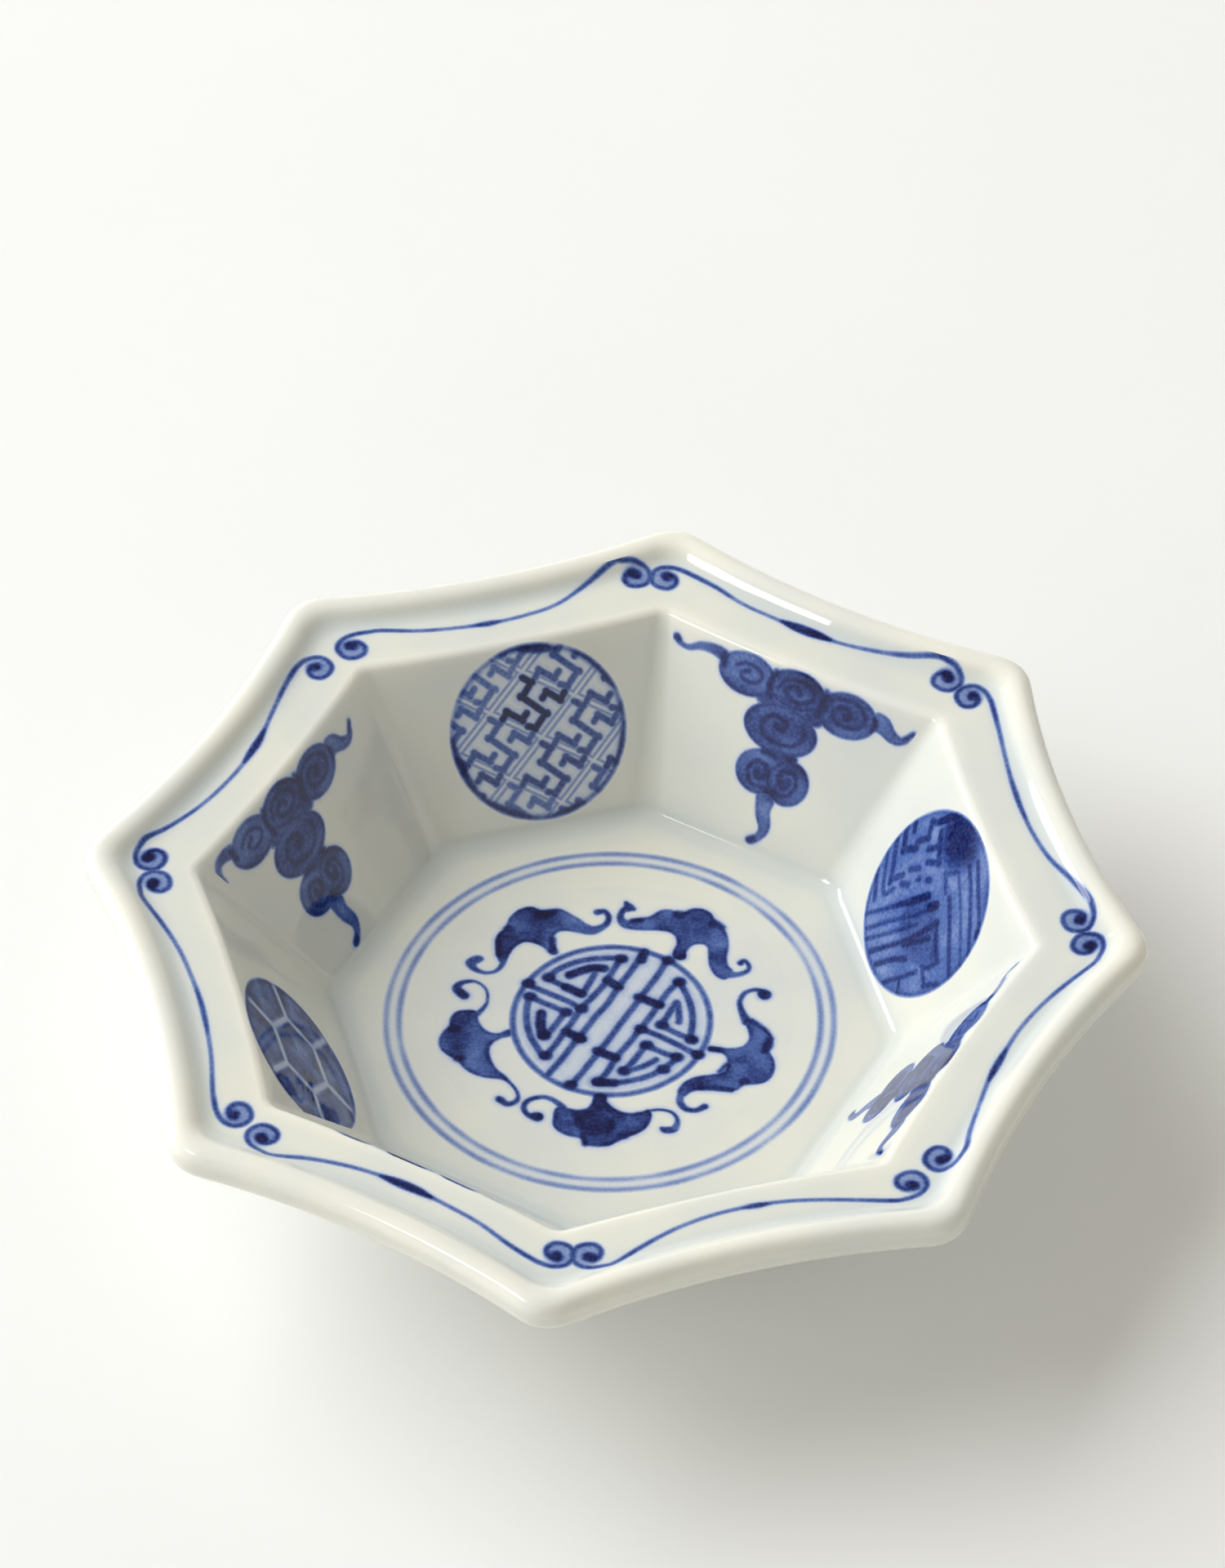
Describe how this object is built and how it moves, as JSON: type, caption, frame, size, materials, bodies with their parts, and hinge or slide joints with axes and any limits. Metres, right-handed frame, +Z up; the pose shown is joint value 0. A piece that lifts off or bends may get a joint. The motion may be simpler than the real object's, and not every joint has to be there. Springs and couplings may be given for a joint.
{
  "type": "octagonal serving bowl",
  "caption": "Octagonal glazed porcelain serving bowl with a pointed raised lip, flat flange, faceted well and round foot ring, painted inside in cobalt blue.",
  "frame": {"origin": "centre of the circle that the foot ring rests on", "axes": "+Z up along the axis of the bowl, +X and +Y through points of the rim"},
  "size_m": [0.1444, 0.1444, 0.0355],
  "materials": {
    "glazed_porcelain": "clear gloss glaze over white porcelain with cobalt blue underglaze painting",
    "foot_porcelain": "glazed sides with a bare, wiped rest edge"
  },
  "bodies": {
    "root": {"bowl_body": "glazed_porcelain", "foot_ring": "foot_porcelain"}
  },
  "joints": []
}
